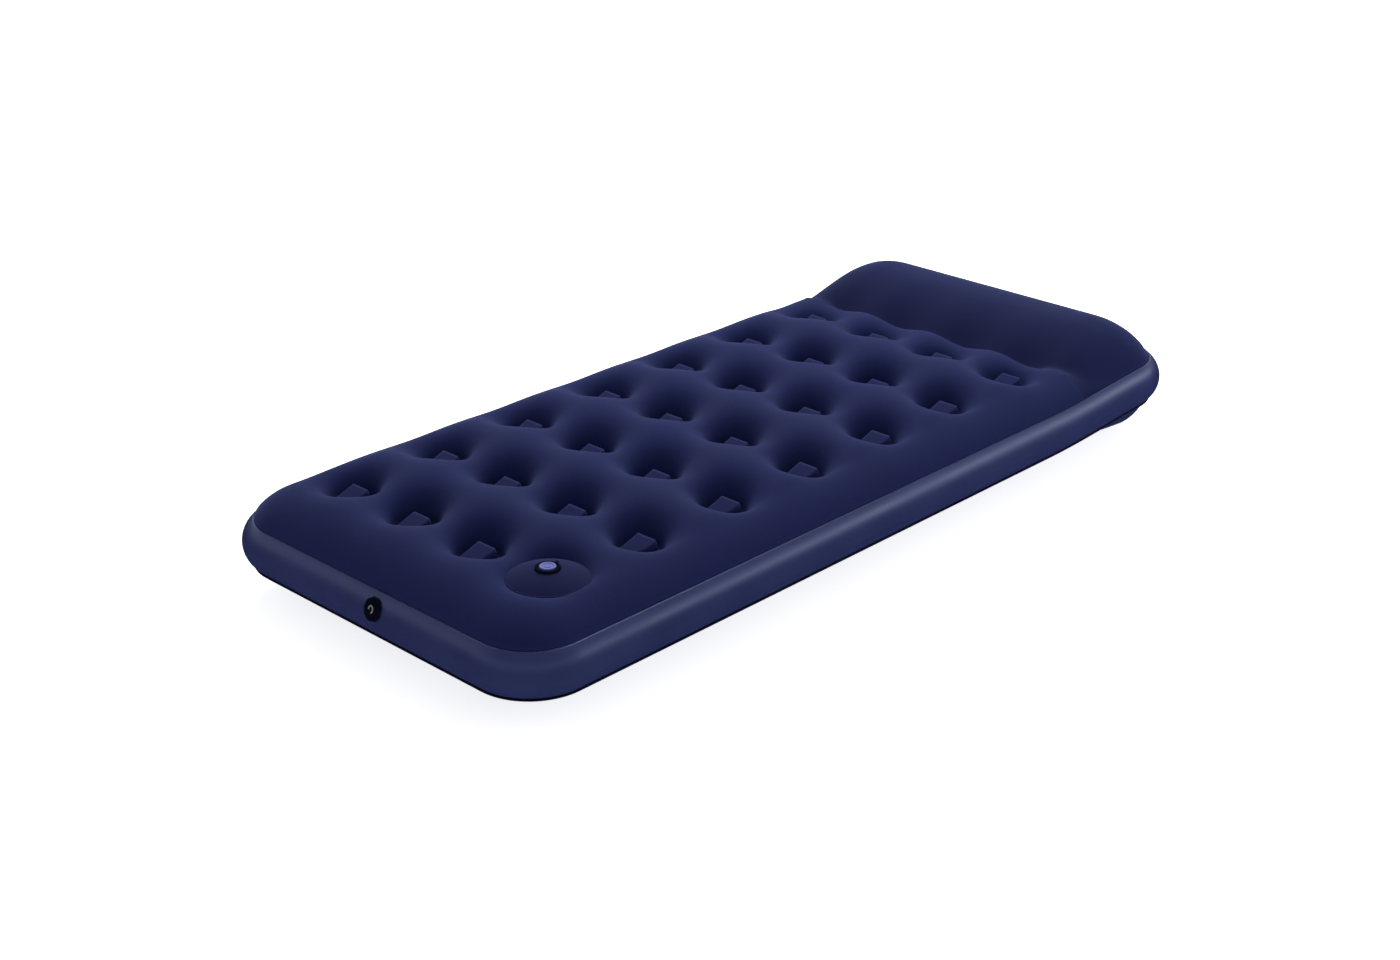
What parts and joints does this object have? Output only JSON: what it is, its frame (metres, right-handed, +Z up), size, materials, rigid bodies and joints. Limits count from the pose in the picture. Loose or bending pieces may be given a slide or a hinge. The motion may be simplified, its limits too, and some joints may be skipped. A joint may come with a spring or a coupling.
{
  "type": "air mattress",
  "caption": "Single inflatable air mattress with a raised pillow, a flocked dimpled top held by coil beams, a smooth side band, a built-in foot pump and a foot-end valve.",
  "frame": {"origin": "on the floor under the middle of the bed", "axes": "+Y along the bed from the foot to the pillow, +X across the bed, +Z up"},
  "size_m": [0.826, 1.8526, 0.248],
  "materials": {
    "flocked_vinyl": "matt flocked",
    "navy_vinyl": "smooth satin vinyl",
    "inner_vinyl": "plain vinyl",
    "foam": "open-cell foam",
    "black_plastic": "moulded, satin",
    "lavender_plastic": "moulded, satin",
    "grey_plastic": "moulded, satin",
    "seal_rubber": "matt"
  },
  "bodies": {
    "root": {"top_sheet": "flocked_vinyl", "side_band": "navy_vinyl", "bottom_sheet": "navy_vinyl", "coil_beam_row_1_column_1": "inner_vinyl", "coil_beam_row_1_column_2": "inner_vinyl", "coil_beam_row_1_column_3": "inner_vinyl", "coil_beam_row_2_column_1": "inner_vinyl", "coil_beam_row_2_column_2": "inner_vinyl", "coil_beam_row_2_column_3": "inner_vinyl", "coil_beam_row_2_column_4": "inner_vinyl", "coil_beam_row_3_column_1": "inner_vinyl", "coil_beam_row_3_column_2": "inner_vinyl", "coil_beam_row_3_column_3": "inner_vinyl", "coil_beam_row_3_column_4": "inner_vinyl", "coil_beam_row_4_column_1": "inner_vinyl", "coil_beam_row_4_column_2": "inner_vinyl", "coil_beam_row_4_column_3": "inner_vinyl", "coil_beam_row_4_column_4": "inner_vinyl", "coil_beam_row_5_column_1": "inner_vinyl", "coil_beam_row_5_column_2": "inner_vinyl", "coil_beam_row_5_column_3": "inner_vinyl", "coil_beam_row_5_column_4": "inner_vinyl", "coil_beam_row_6_column_1": "inner_vinyl", "coil_beam_row_6_column_2": "inner_vinyl", "coil_beam_row_6_column_3": "inner_vinyl", "coil_beam_row_6_column_4": "inner_vinyl", "coil_beam_row_7_column_1": "inner_vinyl", "coil_beam_row_7_column_2": "inner_vinyl", "coil_beam_row_7_column_3": "inner_vinyl", "coil_beam_row_7_column_4": "inner_vinyl", "pillow_beam": "inner_vinyl", "pump_well": "inner_vinyl", "pump_dome": "navy_vinyl", "pump_foam": "foam", "outlet_valve_body": "black_plastic", "valve_flange": "black_plastic"},
    "pump_top": {"intake_ring": "black_plastic", "intake_seat": "black_plastic"},
    "intake_closure": {"intake_cap": "lavender_plastic"},
    "intake_valve": {"intake_flap": "seal_rubber"},
    "outlet_valve": {"outlet_flap": "seal_rubber"},
    "collar_seal": {"collar_gasket": "seal_rubber"},
    "collar": {"valve_collar": "black_plastic"},
    "stopper": {"valve_cap": "grey_plastic"},
    "inner_valve": {"valve_flap": "seal_rubber"}
  },
  "joints": [
    {"name": "pump_press", "type": "slide", "parent": "root", "child": "pump_top", "axis": [0, 0, -1], "range_m": [0, 0.045], "stiffness_N_per_m": 3000, "deforming": ["pump_dome", "pump_foam"]},
    {"name": "intake_cap_swing", "type": "hinge", "parent": "pump_top", "child": "intake_closure", "pos_m": [0.2535, -0.7076, 0.2003], "axis": [-1, 0, 0], "range_deg": [0, 150]},
    {"name": "intake_flap_swing", "type": "hinge", "parent": "pump_top", "child": "intake_valve", "pos_m": [0.2662, -0.73, 0.1813], "axis": [0, -1, 0], "range_deg": [0, 35], "stiffness_Nm_per_rad": 0.002, "springref_deg": -11.46},
    {"name": "outlet_flap_swing", "type": "hinge", "parent": "root", "child": "outlet_valve", "pos_m": [0.1752, -0.73, 0.1], "axis": [0, 1, 0], "range_deg": [0, 40], "stiffness_Nm_per_rad": 0.002, "springref_deg": -11.46},
    {"name": "collar_lift", "type": "slide", "parent": "root", "child": "collar_seal", "axis": [0, -0.9372, 0.3487], "range_m": [0, 0.0045]},
    {"name": "collar_turn", "type": "hinge", "parent": "collar_seal", "child": "collar", "pos_m": [0.037, -0.92035, 0.115], "axis": [0, -0.9372, 0.3487], "range_deg": [0, 540]},
    {"name": "cap_swing", "type": "hinge", "parent": "collar", "child": "stopper", "pos_m": [0.037, -0.91853, 0.12862], "axis": [-1, 0, 0], "range_deg": [0, 150]},
    {"name": "valve_flap_swing", "type": "hinge", "parent": "collar", "child": "inner_valve", "pos_m": [0.037, -0.9078, 0.12207], "axis": [1, 0, 0], "range_deg": [0, 40], "stiffness_Nm_per_rad": 0.002, "springref_deg": -11.46}
  ],
  "couplings": [
    {"joint": "collar_lift", "follows": "collar_turn", "m_per_rad": 0.00047746}
  ]
}
